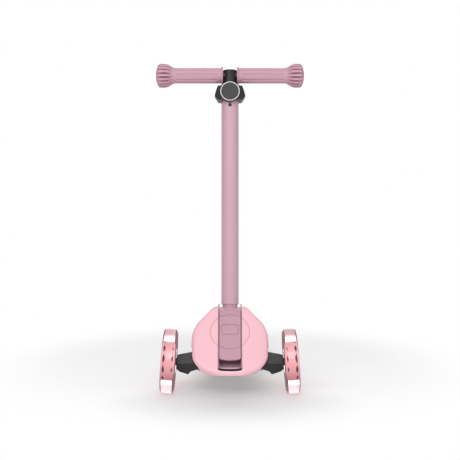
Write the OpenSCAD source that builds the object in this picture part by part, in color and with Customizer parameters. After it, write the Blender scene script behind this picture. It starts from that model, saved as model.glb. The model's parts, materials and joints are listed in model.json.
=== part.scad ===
// Child's three-wheeled kick scooter that steers by leaning. Its handlebar
// telescopes in a column, and the column folds back over the deck.
// The front is -Y and +Z is up. The origin is on the ground, in the middle of the
// scooter's length and width. All sizes are in millimetres.

/* [Front wheels] */
// Outer diameter of a front tyre
tyre_d = 120; // [114:1:126]
// Width of a front tyre
tyre_w = 26; // [24:0.5:28]
// Shoulder radius of a front tyre
tyre_shoulder = 5.5; // [4:0.5:8]
// Diameter of a front wheel's core, where the tyre is cast on
core_d = 48; // [46:1:56]
// Width of a wheel core at its rim
core_w = 17; // [16:0.5:19]
// Number of pockets round a wheel core
pocket_count = 8; // [5:1:9]
// Distance between the middles of the front wheels
track = 227; // [224:1:236]
// Inward lean of the front wheels, in degrees
camber = 4; // [3:0.5:6]

/* [Rear wheel and brake] */
// Outer diameter of the rear tyre
rear_d = 80; // [76:1:84]
// Width of the rear tyre
rear_w = 24; // [22:0.5:26]
// Diameter of the rear wheel's core
rear_core_d = 46; // [44:1:52]
// Distance from the front axle to the rear axle
wheelbase = 455; // [440:5:480]
// Gap between the rear tyre and the fender
fender_gap = 5.5; // [5:0.5:9]
// Thickness of the fender
fender_wall = 3; // [2:0.5:4]
// Width of the fender
fender_w = 44; // [40:1:50]
// How far the fender reaches behind the rear axle, in degrees from the top
fender_tail = 48; // [30:1:50]
// Travel of the fender as it is trodden down, in degrees
brake_travel = 3; // [2:0.5:3]

/* [Bearings and bolts] */
// Outer diameter of a wheel bearing
bearing_d = 22; // [20:1:24]
// Width of a wheel bearing
bearing_w = 7; // [5:0.5:8]
// Diameter of the wheel axles and kingpins
axle_d = 8; // [6:0.5:9]
// Diameter of the bolts that hold the frame together
bolt_d = 5; // [4:0.5:6]
// Diameter of the screws that hold the plastic covers
screw_d = 4; // [3:0.5:5]
// Radial clearance of everything that turns or slides in a bore
run_gap = 0.05; // [0.02:0.01:0.09]
// Clearance between flat faces that move past each other
face_gap = 0.4; // [0.3:0.1:0.6]

/* [Steering] */
// Sideways distance from the middle to each kingpin
king_x = 52; // [50:1:55]
// Forward lean of the kingpins, in degrees
king_tilt = 20; // [15:1:25]
// Length of the boss that turns on a kingpin
king_boss_l = 22; // [20:1:26]
// Diameter of that boss
king_boss_d = 24; // [20:1:25]
// Length of the lever that joins a kingpin boss to the tie rod
lever_l = 26; // [24:1:28]
// Width of the tie rod
rod_w = 10; // [9:0.5:12]
// Thickness of the tie rod and of the levers
rod_t = 6; // [4:0.5:6]

/* [Deck] */
// Height of the standing surface, without its mat
deck_top = 64; // [62:1:68]
// Height of the deck's lower edge
deck_low = 40; // [38:1:41]
// Width of the deck
deck_w = 116; // [110:1:124]
// Wall of the deck shell
deck_wall = 3.5; // [2.5:0.5:5]
// Thickness of the rubber mat
mat_t = 2.5; // [1.5:0.5:4]
// Width of the tail on each side of the rear wheel
tail_arm = 12.5; // [10:0.5:15]

/* [Front hood] */
// How far the hood's lip lies ahead of the front axle
lip_ahead = 48; // [44:1:52]
// Height of the hood's lip
lip_z = 43.5; // [42:0.5:46]
// Slope of the hood's face, in degrees from level
hood_slope = 50; // [48:1:52]
// Length of the hood's face up its slope
hood_l = 151; // [147:1:154]
// Width of the hood
hood_w = 144; // [138:1:148]
// Width of the hood at its crest
crest_w = 60; // [54:1:64]
// Wall of the hood
hood_wall = 3; // [2:0.5:4]
// Depth of the hood's rim
rim_depth = 13; // [10:1:16]

/* [Folding joint] */
// Clear width between the cheeks of the folding bracket
cheek_gap = 40; // [38:1:42]
// Thickness of a cheek
cheek_t = 2; // [1.5:0.5:2.5]
// Diameter of the fold pin
fold_pin_d = 8; // [6:0.5:10]
// Diameter of the knuckle at the column's foot
knuckle_d = 34; // [30:1:35]
// How far the column folds back, in degrees
fold_travel = 74; // [60:1:76]
// Thickness of the release pedal
pedal_t = 4.5; // [3.5:0.5:5]
// Travel of the release pedal, in degrees
pedal_travel = 5; // [3:0.5:5]

/* [Column and handlebar] */
// Lean of the column, in degrees from upright
rake = 10; // [8:1:12]
// Outer diameter of the column
column_d = 33; // [31:0.5:34]
// Wall of the column
column_wall = 1.5; // [1:0.25:2]
// Length of the column tube
column_l = 418; // [398:5:443]
// Diameter of the handlebar stem that slides in the column
stem_d = 27; // [26:0.25:27.5]
// Wall of the stem and of the crossbar
stem_wall = 1.5; // [1:0.25:2]
// Length of the bush in the top of the column
bush_l = 40; // [34:1:46]
// Height of the crossbar above the column tube
bar_rise = 25; // [24:1:30]
// How far the handlebar slides up
bar_travel = 70; // [40:5:80]
// Overall width of the handlebar
bar_w = 287; // [270:1:300]
// Diameter of the crossbar
crossbar_d = 19; // [17:0.5:20]

/* [Grips] */
// Diameter of a grip
grip_d = 29.5; // [27:0.5:31]
// Diameter of the ribbed knob at the end of a grip
knob_d = 46; // [43:1:49]
// Length of the knob
knob_l = 37; // [34:1:40]
// Number of slots round the knob
slot_count = 18; // [14:1:20]
// Diameter of the flange at a grip's inner end
flange_d = 35; // [33:0.5:37]

/* [Clamp] */
// Diameter of the round cap on the clamp
badge_d = 39; // [36:1:40]
// Height of the clamp
clamp_h = 27.5; // [26:0.5:31]
// Width of the clamp at its widest
clamp_w = 59; // [56:1:62]
// Wall of the clamp round the column
clamp_wall = 4; // [3:0.5:5]
// Length of the clamp lever
lever_reach = 42; // [38:1:44]

/* [Hidden] */
$fn = 64;
eps = 0.01;
pink = "#F9C3CF";
mauve = "#C799A8";
black = "#2C2A2B";
steel = "#B9BBBE";
clear_pink = "#F3CBD2";

// Wheels: the axle height stands the cambered shoulder on the ground
axle_z = (tyre_d / 2 - tyre_shoulder) * cos(camber)
    + (tyre_w / 2 - tyre_shoulder) * sin(camber) + tyre_shoulder;
rear_z = rear_d / 2;
hub_w = 18;
hub_d = bearing_d + 6;
pocket_d = (core_d - hub_d) / 2 - 4;
fender_r = rear_d / 2 + fender_gap;
fender_out = fender_r + fender_wall;
fender_arm = 54;
hinge_pin_d = 4;
brake_y = wheelbase - fender_arm;
brake_z = deck_top + 2;
pad_t = fender_gap - fender_arm * tan(brake_travel) - face_gap;

// Whole length, measured in the front axle's frame
back_y = wheelbase + max(rear_d / 2, fender_out * sin(fender_tail));
mid_y = (back_y - tyre_d / 2) / 2;

// Kingpins
king_y = 6;
king_z = axle_z + 1;
ear_t = 5;
ear_in = king_boss_l / 2 + face_gap;
ear_out = ear_in + ear_t;
rod_z = -rod_t - face_gap;
rod_pin_d = 6;
lug_w = 6;
spring_d = 8;
spring_z = rod_t + 4 + spring_d / 2;
arm_out = track / 2 - tyre_w / 2 - 3;
axle_grip = 18;

// Deck and its frame
spine_low = deck_low + 3;
spine_top = spine_low + 6;
deck_front = 62;
tail_start = wheelbase - rear_d / 2 - 5;
deck_taper = tail_start - 80;
web_slot = 2 * (king_x - king_boss_d / 2 - 2) + 2 * face_gap;
tail_in = rear_w / 2 + 3.5;
tail_out = tail_in + tail_arm;
tail_end = wheelbase + 16;
tail_root = tail_start - 20;
tail_low = deck_low - 8;
tail_h = 26;
spine_bolt_x = 24;
spine_bolt_y = 100;
spine_end = 118;
deck_screw_x = deck_w / 2 - 16;
deck_screw_y = [for (k = [0 : 2]) spine_end + 42 + k * (deck_taper - spine_end - 52) / 2];
deck_screw_l = 18;
rib_t = 3;
rib_x = deck_w / 2 - 28;
rib_front = spine_end + 4;
rib_back = deck_taper + 22;
rib_y = [for (k = [0 : 2]) rib_front + k * (deck_taper - 50 - rib_front) / 2];
mat_front = spine_end + 4;
mat_back = deck_taper + 20;
mat_half = deck_w / 2 - 10;
mat_pitch = 12;

// Hood
lip_y = -lip_ahead;
hood_low = 50;
shoulder_v = hood_l - 61;
slot_deep = 60;
hood_far = 2 * hood_w;
arm_clear_x = 58;
arm_clear_y = 34;
arm_clear_z = axle_z + 25;
crown_r = 420;
side_rim = hood_wall + hood_w * hood_w / crown_r / 8 + 0.5;
slot_half = cheek_gap / 2 + cheek_t + face_gap;
slot_low = 11;
bow = 2;
corner = 2.5;
bow_r = slot_half * slot_half / bow / 2;

// Folding joint: the pin is on the column's axis, behind the hood's face
fold_v = hood_l - 12;
fold_n = -knuckle_d / 2 - 3.2;
fold_y = lip_y + fold_v * cos(hood_slope) - fold_n * sin(hood_slope);
fold_z = lip_z + fold_v * sin(hood_slope) + fold_n * cos(hood_slope);
tube_start = knuckle_d / 2 + 4;
hood_back = fold_y + 56.5;
hood_back_rise = deck_top - 4;
hood_back_run = 48;
crest_z = fold_z + 40;
hood_screw_y = [hood_back - 42, hood_back - 26];
pedal_low = 34;
pedal_high = hood_l - 6;
pedal_notch = hood_l - 17;
pedal_pin_v = 90;
pedal_pin_n = -9;
pedal_pin_d = 5;
pedal_swing = (pedal_pin_v - pedal_low) * tan(pedal_travel);
latch_gap = 2 * face_gap + 25 * sin(pedal_travel) / 2;
pedal_w = cheek_gap - 2 * face_gap;
neck_d = column_d - 4.5;
notch_half = neck_d / 2 + 2;
bracket_base_t = 3;
bracket_back = fold_y + 20.5;
bracket_bolt_x = 11;
bracket_bolt_y = [bracket_back - 24, bracket_back - 6];
cheek_low = 16;
plug_l = 34;
flute_d = 2.2;
flute_low = 8;

// Column and handlebar, measured up the column from the fold pin
column_in = column_d - 2 * column_wall;
column_top = tube_start + column_l;
bar_z = column_top + bar_rise;
stem_top = bar_z + 9.8;
stem_low = column_top - bush_l - bar_travel - 64;
badge_z = column_top - 11;
clamp_low = badge_z - clamp_h * 0.545;
clamp_top = badge_z + clamp_h * 0.455;
clamp_face = column_d / 2 + clamp_wall + 3;
relief_z = badge_z - 24.5;
slit_w = 2;
lever_pin_y = column_d / 2 + clamp_wall + 7;
lever_pin_z = clamp_top - 9;
lever_pin_d = 5;
lug_in = 6.5;
lug_out = lug_in + 5;

// Grips
grip_start = stem_d / 2 + 0.1;
grip_end = bar_w / 2;
knob_start = grip_end - knob_l;
flange_t = 2.7;
crossbar_half = grip_end - 5;
groove_l = 80;
groove_count = 8;
groove_turn = -6;
fender_front = 52;
fender_far = 3 * fender_out;

// Moves from the front axle's frame to the frame of the whole scooter
module on_scooter() {
    translate([0, -mid_y, 0]) children();
}

// Right is +X; the left pieces mirror the right ones
module on_side(side) {
    if (side > 0) children();
    else mirror([1, 0, 0]) children();
}

// Frame of a front wheel, with its axis along X and pointing outward
module at_wheel(side) {
    on_scooter() on_side(side) translate([track / 2, 0, axle_z]) rotate([0, -camber, 0]) children();
}

// Frame of a kingpin, with its axis along Z
module at_kingpin(side) {
    on_scooter() on_side(side) translate([king_x, king_y, king_z]) rotate([king_tilt, 0, 0]) children();
}

// Frame of the rear wheel
module at_rear() {
    on_scooter() translate([0, wheelbase, rear_z]) children();
}

// Frame of the hood's face: Y runs up the slope and Z points out of the face
module on_face() {
    on_scooter() translate([0, lip_y, lip_z]) rotate([hood_slope, 0, 0]) children();
}

// Frame of the column: Z runs up its axis from the fold pin
module on_column() {
    on_scooter() translate([0, fold_y, fold_z]) rotate([-rake, 0, 0]) children();
}

// Cylinder along X from x0 to x1
module bar_x(d, x0, x1) {
    translate([x0, 0, 0]) rotate([0, 90, 0]) cylinder(d = d, h = x1 - x0);
}

// Turns a profile drawn as radius and width round the X axis
module turned_x() {
    rotate([0, 90, 0]) rotate_extrude() children();
}

// Ring section of a tyre with round shoulders, less a slim bore
module tyre_section(d, w, shoulder, bore) {
    difference() {
        union() {
            translate([0, -w / 2 + shoulder]) square([d / 2, w - 2 * shoulder]);
            translate([0, -w / 2]) square([d / 2 - shoulder, w]);
            for (s = [-1, 1]) translate([d / 2 - shoulder, s * (w / 2 - shoulder)]) circle(shoulder);
        }
        translate([-d, -w]) square([d + bore / 2, 2 * w]);
    }
}

// Ball bearing with a groove between its races, centred on x
module bearing(x) {
    translate([x, 0, 0]) turned_x() difference() {
        translate([axle_d / 2 + run_gap, -bearing_w / 2])
            square([bearing_d / 2 - axle_d / 2 - 2 * run_gap, bearing_w]);
        for (s = [-1, 1]) translate([(bearing_d + axle_d) / 4, s * bearing_w / 2])
            square([bearing_d / 10, 1], center = true);
    }
}

// Moulded wheel core: rim, web with round pockets, hub and bearing seats
module core(d, w) {
    difference() {
        union() {
            bar_x(d - 2 * run_gap, -w / 2, w / 2);
            bar_x(hub_d, -hub_w / 2, hub_w / 2);
        }
        for (s = [-1, 1]) translate([s * (w / 2), 0, 0]) turned_x() difference() {
            translate([0, -2]) square([d / 2 - 2.5, 4]);
            translate([0, -3]) square([hub_d / 2, 6]);
        }
        bar_x(axle_d + 4, -hub_w, hub_w);
        for (s = [-1, 1]) translate([s * hub_w / 2, 0, 0]) bar_x(bearing_d, -bearing_w, bearing_w);
        for (k = [0 : pocket_count - 1]) rotate([k * 360 / pocket_count, 0, 0])
            translate([0, 0, (d / 2 + hub_d / 2) / 2 - 0.75]) bar_x(pocket_d, -w, w);
    }
}

module bearing_pair() {
    for (s = [-1, 1]) bearing(s * (hub_w - bearing_w) / 2);
}

// Tube between the two bearings
module spacer_tube() {
    half = hub_w / 2 - bearing_w;
    difference() {
        bar_x(axle_d + 3, -half, half);
        bar_x(axle_d + 2 * run_gap, -hub_w, hub_w);
    }
}

// Front wheel pieces
module front_tyre(side) {
    color(clear_pink) at_wheel(side) turned_x() tyre_section(tyre_d, tyre_w, tyre_shoulder, core_d);
}

module front_core(side) {
    color(pink) at_wheel(side) core(core_d, core_w);
}

module front_bearings(side) {
    color(steel) at_wheel(side) bearing_pair();
}

module front_spacer(side) {
    color(steel) at_wheel(side) spacer_tube();
}

// Domed cap that hides the bolt head and snaps over the hub
module hub_cap(side) {
    seat = hub_w / 2;
    color(pink) at_wheel(side) difference() {
        union() {
            bar_x(hub_d - 1, seat, seat + 1.5);
            bar_x(hub_d - 5, seat, tyre_w / 2);
        }
        bar_x(bearing_d - 3, seat - eps, seat + 2.2);
    }
}

// Bolt that screws into the knuckle and carries the wheel
module axle_bolt(side) {
    color(steel) at_wheel(side) {
        bar_x(axle_d, -hub_w / 2 - axle_grip, hub_w / 2);
        bar_x(axle_d + 5, hub_w / 2, hub_w / 2 + 1.9);
    }
}

// Black arm between the kingpin and the wheel
module knuckle(side) {
    nose = hub_w / 2;
    color(black) difference() {
        union() {
            at_kingpin(side) cylinder(d = king_boss_d, h = king_boss_l, center = true);
            intersection() {
                on_scooter() on_side(side) rotate([90, 0, 0]) linear_extrude(track, center = true)
                    polygon([[king_x, axle_z + 9], [king_x + 18, axle_z + 14.5], [arm_out - 4, axle_z + 10],
                        [arm_out + 2, axle_z + 8], [arm_out + 2, axle_z - 14], [arm_out - 3, axle_z - 19],
                        [king_x + 26, axle_z - 25], [king_x + 21, axle_z - 19], [king_x, axle_z - 12]]);
                on_scooter() on_side(side) rotate([90, 0, 90]) linear_extrude(track)
                    polygon([[2, axle_z + 22], [-9, axle_z - 3], [-1, axle_z - 27],
                        [14, axle_z - 27], [17, axle_z - 3], [15, axle_z + 22]]);
            }
            at_wheel(side) bar_x(axle_d + 6, -nose - 12, -nose);
            at_kingpin(side) translate([-rod_w / 2, 0, 0]) cube([rod_w, lever_l, rod_t]);
            at_kingpin(side) translate([0, lever_l, 0]) cylinder(d = rod_w, h = rod_t);
        }
        at_kingpin(side) {
            for (s = [-1, 1]) translate([0, 0, s * (king_boss_l / 2 + 25)])
                cylinder(d = king_boss_d + 3, h = 50, center = true);
            cylinder(d = axle_d + 4, h = 60, center = true);
            translate([0, lever_l, 0]) cylinder(d = rod_pin_d + 2 * run_gap, h = 3 * rod_t, center = true);
        }
        at_wheel(side) bar_x(axle_d + 2 * run_gap, -nose - axle_grip - 1, 0);
        at_wheel(side) turned_x() translate([axle_d / 2 + 3 + eps, -tyre_w / 2 - 1.5])
            square([tyre_d, tyre_w]);
    }
}

// Flanged nylon bushes in the kingpin boss
module king_bushes(side) {
    color("#D9D9D2") at_kingpin(side) for (s = [-1, 1]) rotate([s > 0 ? 0 : 180, 0, 0]) difference() {
        translate([0, 0, king_boss_l / 2 - 9]) cylinder(d = axle_d + 4 - 2 * run_gap, h = 9);
        cylinder(d = axle_d + 2 * run_gap, h = 40);
    }
}

module rod_pin(side) {
    color(steel) at_kingpin(side) translate([0, lever_l, 0]) {
        translate([0, 0, rod_z - 1]) cylinder(d = rod_pin_d, h = rod_t - rod_z + 1);
        translate([0, 0, rod_t]) cylinder(d = rod_pin_d + 3, h = 2);
    }
}

// Flat bar that makes both knuckles turn together
module rod_body() {
    on_scooter() translate([0, king_y, king_z]) rotate([king_tilt, 0, 0]) translate([0, lever_l, rod_z])
        children();
}

module tie_rod() {
    color(black) rod_body() difference() {
        union() {
            translate([-king_x, -rod_w / 2, 0]) cube([2 * king_x, rod_w, rod_t]);
            for (s = [-1, 1]) translate([s * king_x, 0, 0]) cylinder(d = rod_w, h = rod_t);
            translate([-lug_w / 2, -rod_w / 2, 0]) cube([lug_w, rod_w, spring_z + spring_d / 2 + 1]);
        }
        for (s = [-1, 1]) translate([s * king_x, 0, -1])
            cylinder(d = rod_pin_d + 2 * run_gap, h = rod_t + 2);
    }
}

// Ribbed rubber spring between the rod's lug and a cheek of the bracket
module centring_spring(side) {
    reach = cheek_gap / 2 - lug_w / 2;
    color("#3A3A3C") rod_body() on_side(side) translate([lug_w / 2, 0, spring_z]) {
        bar_x(spring_d - 3, 0, reach);
        for (k = [0 : 3]) bar_x(spring_d, (k + 0.25) * reach / 4, (k + 0.75) * reach / 4);
    }
}

// Cast carrier that holds the kingpins and bolts under the deck
module axle_carrier() {
    web_in = slot_half + 1.5;
    web_out = king_x - king_boss_d / 2 - 2;
    color(black) difference() {
        union() {
            on_scooter() translate([-web_out, -14, spine_low])
                cube([2 * web_out, spine_end + 14, spine_top - spine_low]);
            for (side = [-1, 1]) {
                on_scooter() on_side(side) translate([web_in, -9, spine_low])
                    cube([web_out - web_in, 22, king_z + ear_in + 6 - spine_low]);
                at_kingpin(side) for (s = [-1, 1]) translate([0, 0, s * (ear_in + ear_t / 2)]) {
                    cylinder(d = king_boss_d, h = ear_t, center = true);
                    translate([(web_in - king_x) / 2, 0, 0])
                        cube([king_x - web_in, king_boss_d - 4, ear_t], center = true);
                }
            }
        }
        for (side = [-1, 1]) at_kingpin(side) {
            cylinder(d = axle_d + 2 * run_gap, h = 80, center = true);
        }
        on_scooter() translate([-40, -20, 0]) cube([80, 200, spine_low]);
        bolt_holes(bolt_d + 0.4);
    }
}

module kingpins() {
    color(steel) for (side = [-1, 1]) at_kingpin(side) {
        translate([0, 0, -ear_out - 1]) cylinder(d = axle_d, h = 2 * ear_out + 1);
        translate([0, 0, ear_out]) cylinder(d = axle_d + 4, h = 2.5);
    }
}

// Where the bolts pass through bracket, carrier and tray
module bolt_spots() {
    on_scooter() {
        for (y = bracket_bolt_y) for (s = [-1, 1]) translate([s * bracket_bolt_x, y, 0]) children();
        for (s = [-1, 1]) translate([s * spine_bolt_x, spine_bolt_y, 0]) children();
    }
}

module bolt_holes(d) {
    bolt_spots() cylinder(d = d, h = deck_top - 5);
}

module bracket_bolts() {
    color(steel) {
        on_scooter() for (y = bracket_bolt_y) for (s = [-1, 1]) translate([s * bracket_bolt_x, y, 0])
            bolt_up(spine_top + bracket_base_t);
        on_scooter() for (s = [-1, 1]) translate([s * spine_bolt_x, spine_bolt_y, 0])
            bolt_up(spine_top);
    }
}

// Bolt from below the tray with a nut on top at height top
module bolt_up(top) {
    translate([0, 0, deck_low]) cylinder(d = bolt_d, h = top + 5 - deck_low);
    translate([0, 0, deck_low - 2.5]) cylinder(d = bolt_d + 5, h = 2.5);
    translate([0, 0, top]) cylinder(d = bolt_d + 4, h = 4, $fn = 6);
}

// Outline of the deck seen from above, inset by t
function deck_outline(t) = [[-deck_w / 2 + t, deck_front + t], [deck_w / 2 - t, deck_front + t],
    [deck_w / 2 - t, deck_taper], [tail_out + 5 - t, tail_start - t - 8],
    [-tail_out - 5 + t, tail_start - t - 8], [-deck_w / 2 + t, deck_taper]];

module deck_shell() {
    color(pink) difference() {
        union() {
            on_scooter() translate([0, 0, deck_low]) linear_extrude(deck_top - deck_low)
                polygon(deck_outline(0));
            for (side = [-1, 1]) on_scooter() on_side(side) {
                translate([tail_in, tail_root, tail_low]) cube([tail_arm, tail_end - tail_root, tail_h]);
                translate([tail_in, tail_root, tail_low]) cube([tail_arm, tail_h - 2, deck_top - tail_low]);
            }
            // shoulders that the hood's skirts screw onto
            intersection() {
                on_scooter() translate([-hood_w / 2, deck_front, deck_low + 2])
                    cube([hood_w, hood_screw_y[1] + 8 - deck_front, deck_top - deck_low - 5]);
                hood_block(hood_wall);
            }
        }
        on_scooter() translate([0, 0, deck_low - 10]) linear_extrude(deck_top - deck_wall - deck_low + 10)
            polygon(deck_outline(deck_wall));
        on_scooter() translate([-web_slot / 2, deck_front - 1, deck_low - 1])
            cube([web_slot, deck_wall + 2, spine_top - deck_low + 1 + face_gap]);
        on_scooter() translate([-slot_half, deck_front - 1, deck_low])
            cube([2 * slot_half, bracket_back + face_gap + 1 - deck_front, 60]);
        at_rear() bar_x(axle_d + 2 * run_gap, -60, 60);
        hood_screw_spots() cylinder(d = screw_d, h = 60, center = true);
        fender_pocket();
    }
}

// Room for the fender's hinge at the end of the deck
module fender_pocket() {
    at_rear() bar_x(2 * fender_out + 6, -tail_in, tail_in);
    on_scooter() translate([-fender_w / 2 - 1, brake_y - 7, brake_z - 7]) cube([fender_w + 2, 60, 40]);
}

// Cover under the deck, with ribs up to the standing surface
module deck_tray() {
    inset = deck_wall + face_gap;
    rib_top = deck_top - deck_wall;
    color(black) difference() {
        union() {
            on_scooter() translate([0, 0, deck_low]) linear_extrude(3) polygon(deck_outline(inset));
            on_scooter() for (x = [-rib_x, 0, rib_x]) translate([x - rib_t / 2, rib_front, deck_low])
                cube([rib_t, rib_back - rib_front, rib_top - deck_low]);
            on_scooter() for (y = rib_y) translate([8 - deck_w / 2, y, deck_low])
                cube([deck_w - 16, rib_t, rib_top - deck_low]);
            on_scooter() for (y = deck_screw_y) for (s = [-1, 1]) translate([s * deck_screw_x, y, deck_low])
                cylinder(d = screw_d + 5, h = rib_top - deck_low);
        }
        bolt_holes(bolt_d + 0.4);
        deck_screw_spots() cylinder(d = screw_d, h = 40);
        on_scooter() translate([-slot_half, deck_front - 1, deck_low - 1]) cube([2 * slot_half, 8, 20]);
    }
}

module deck_screw_spots() {
    on_scooter() for (y = deck_screw_y) for (s = [-1, 1]) translate([s * deck_screw_x, y, deck_low - 2])
        children();
}

module deck_screws() {
    color(steel) deck_screw_spots() {
        cylinder(d = screw_d, h = deck_screw_l);
        cylinder(d = 2 * screw_d, h = 2);
    }
}

// Ribbed rubber mat on the standing surface
module grip_mat() {
    color("#B98D99") on_scooter() difference() {
        translate([0, 0, deck_top]) linear_extrude(mat_t) polygon([[-mat_half, mat_front + 8],
            [-mat_half + 8, mat_front], [mat_half - 8, mat_front], [mat_half, mat_front + 8],
            [mat_half, deck_taper - 20], [mat_half - 16, mat_back], [-mat_half + 16, mat_back],
            [-mat_half, deck_taper - 20]]);
        for (y = [mat_front + mat_pitch + 2 : mat_pitch : mat_back - mat_pitch])
            translate([-mat_half + 18, y, deck_top + mat_t - 1]) cube([2 * mat_half - 36, mat_pitch / 3, 2]);
    }
}

// Outline of the hood's face, inset by t: half an ellipse below, tapered shoulders above
function hood_outline(t) = concat(
    [for (k = [0 : 24]) let (a = 180 + k * 7.5)
        [(hood_w / 2 - t) * cos(a), hood_low + (hood_low - t) * sin(a)]],
    [[hood_w / 2 - t, shoulder_v], [hood_w / 2 - 3 - t, shoulder_v + 11],
        [hood_w / 2 - 11 - t, shoulder_v + 26.5 - t / 2],
        [crest_w / 2 + 2 - t, hood_l - 2 - t], [crest_w / 2 - 2 - t, hood_l - t],
        [-crest_w / 2 + 2 + t, hood_l - t], [-crest_w / 2 - 2 + t, hood_l - 2 - t],
        [-hood_w / 2 + 11 + t, shoulder_v + 26.5 - t / 2],
        [-hood_w / 2 + 3 + t, shoulder_v + 11], [-hood_w / 2 + t, shoulder_v]]);

// Lower edge of the pedal and of the bracket's lip, bowed downward, with cut corners
function bowed_edge(half, low) = concat([[-half, low + corner], [corner - half, low]],
    [for (k = [1 : 7]) let (x = (half - corner) * (k / 4 - 1)) [x, low - bow * cos(90 * x / (half - corner))]],
    [[half - corner, low], [half, low + corner]]);

// Solid of the hood, inset by t on every side
module hood_block(t) {
    intersection() {
        on_face() translate([0, 0, -hood_far]) linear_extrude(hood_far - t) polygon(hood_outline(t));
        on_face() translate([0, lip_y, -crown_r - t]) rotate([-90, 0, 0]) cylinder(r = crown_r, h = hood_far);
        on_scooter() rotate([90, 0, 90]) linear_extrude(hood_far, center = true)
            polygon([[2 * lip_y, 0], [hood_back - t, 0], [hood_back - t, hood_back_rise],
                [hood_back - hood_back_run - t, crest_z], [2 * lip_y, crest_z]]);
    }
}

module front_hood() {
    color(pink) difference() {
        hood_block(0);
        hood_block(hood_wall);
        // open underside: short rim in front, clear of the arms beside the kingpins
        difference() {
            on_scooter() translate([-hood_w, 2 * lip_y, 0])
                cube([hood_far, arm_clear_y - 2 * lip_y, arm_clear_z]);
            on_face() translate([-arm_clear_x, lip_y, -rim_depth]) cube([2 * arm_clear_x, hood_far, hood_w]);
            on_face() translate([-hood_w, lip_y, -side_rim]) cube([hood_far, hood_far, hood_w]);
        }
        on_scooter() translate([-hood_w, 2 * lip_y, 0]) cube([hood_far, hood_far, lip_z - 1.5]);
        // seat over the deck
        on_scooter() translate([-deck_w / 2 - face_gap, deck_front - 30, 0])
            cube([deck_w + 2 * face_gap, hood_far, deck_top]);
        // slot for the folding bracket, from the face over the crest
        on_face() translate([-slot_half, slot_low + corner, -slot_deep]) cube([2 * slot_half, hood_far, hood_w]);
        on_face() intersection() {
            translate([0, slot_low - bow + bow_r, -slot_deep]) cylinder(r = bow_r, h = hood_w);
            translate([corner / 2 - slot_half, 0, -slot_deep]) cube([2 * slot_half - corner, hood_l / 2, hood_w]);
        }
        on_scooter() translate([-slot_half, fold_y, fold_z]) rotate([90 - rake - fold_travel, 0, 0])
            translate([0, lip_y, -knuckle_d / 2 - 6]) cube([2 * slot_half, hood_w, hood_w]);
        hood_screw_spots() cylinder(d = screw_d + 0.3, h = hood_w / 4, center = true);
    }
}

// Screws through the hood's side skirts into the deck
module hood_screw_spots() {
    on_scooter() for (side = [-1, 1]) for (y = hood_screw_y) on_side(side)
        translate([hood_w / 2, y, (deck_top + deck_low) / 2]) rotate([0, 90, 0]) children();
}

module hood_screws() {
    reach = (hood_w - deck_w) / 2 + 2;
    color(steel) hood_screw_spots() {
        translate([0, 0, -reach]) cylinder(d = screw_d, h = reach);
        cylinder(d = 2 * screw_d, h = 2);
    }
}

// Two cheeks on a base, painted steel: carries the fold pin and the release pedal
module fold_bracket() {
    face = [for (v = [cheek_low, hood_l + 1]) [lip_y + v * cos(hood_slope), lip_z + v * sin(hood_slope)]];
    foot_z = spine_top;
    cross_half = (cheek_gap + cheek_t) / 2;
    tip_y = lip_y + (cheek_low - bow) * cos(hood_slope);
    tip_z = lip_z + (cheek_low - bow) * sin(hood_slope);
    dish_y = lip_y + 33;
    dish_z = lip_z + 12.5;
    color(mauve) difference() {
        union() {
            for (side = [-1, 1]) on_scooter() on_side(side) translate([cheek_gap / 2, 0, 0])
                rotate([90, 0, 90]) linear_extrude(cheek_t)
                    polygon([face[0], face[1], [fold_y + 6.5, fold_z + 20], [bracket_back, fold_z + 6],
                        [bracket_back, foot_z], [20, foot_z], [-8, foot_z + 5]]);
            on_scooter() translate([-cross_half, bracket_back - 36.5, foot_z])
                cube([2 * cross_half, 36, bracket_base_t]);
            // bowed lip in front of the pedal
            intersection() {
                on_scooter() rotate([90, 0, 90]) linear_extrude(2 * cross_half, center = true)
                    polygon([[tip_y + 1, tip_z - 0.6], [tip_y + 2, tip_z + 1.6], [dish_y, dish_z + 2],
                        [dish_y + 3, dish_z + 13], [dish_y + 5, dish_z + 12], [dish_y + 2, dish_z]]);
                on_face() translate([0, 0, -hood_w]) linear_extrude(hood_far) polygon(concat(
                    bowed_edge(cross_half, cheek_low), [[cross_half, hood_far], [-cross_half, hood_far]]));
            }
            on_face() translate([-cross_half, pedal_low + 3, -pedal_t - pedal_swing - face_gap - 3])
                cube([2 * cross_half, 6, 3]);
            // bosses that hold the column's knuckle in the middle
            for (side = [-1, 1]) on_side(side) on_column()
                bar_x(fold_pin_d + 8, neck_d / 2 + face_gap, cheek_gap / 2 + cheek_t);
        }
        on_column() bar_x(fold_pin_d + 2 * run_gap, -40, 40);
        at_pedal_pin() bar_x(pedal_pin_d + 2 * run_gap, -40, 40);
        rod_body() translate([-30, -rod_w / 2 - 3, -3]) cube([60, rod_w + 6, rod_t + 5]);
        bolt_holes(bolt_d + 0.4);
    }
}

module fold_pin() {
    half = cheek_gap / 2 + cheek_t;
    color(steel) on_column() {
        bar_x(fold_pin_d, -half - 1, half);
        bar_x(fold_pin_d + 4, half, half + 2);
    }
}

module at_pedal_pin() {
    on_face() translate([0, pedal_pin_v, pedal_pin_n]) children();
}

module pedal_pin() {
    half = cheek_gap / 2 + cheek_t;
    color(steel) at_pedal_pin() bar_x(pedal_pin_d, -half, half);
}

// Coil of the pedal's return spring, round the pin
module pedal_spring() {
    color(steel) at_pedal_pin() difference() {
        union() {
            bar_x(pedal_pin_d + 2, -6, 6);
            for (k = [-2 : 2]) bar_x(pedal_pin_d + 3.4, k * 2.4 - 0.8, k * 2.4 + 0.8);
        }
        bar_x(pedal_pin_d + 0.4, -7, 7);
    }
}

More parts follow.
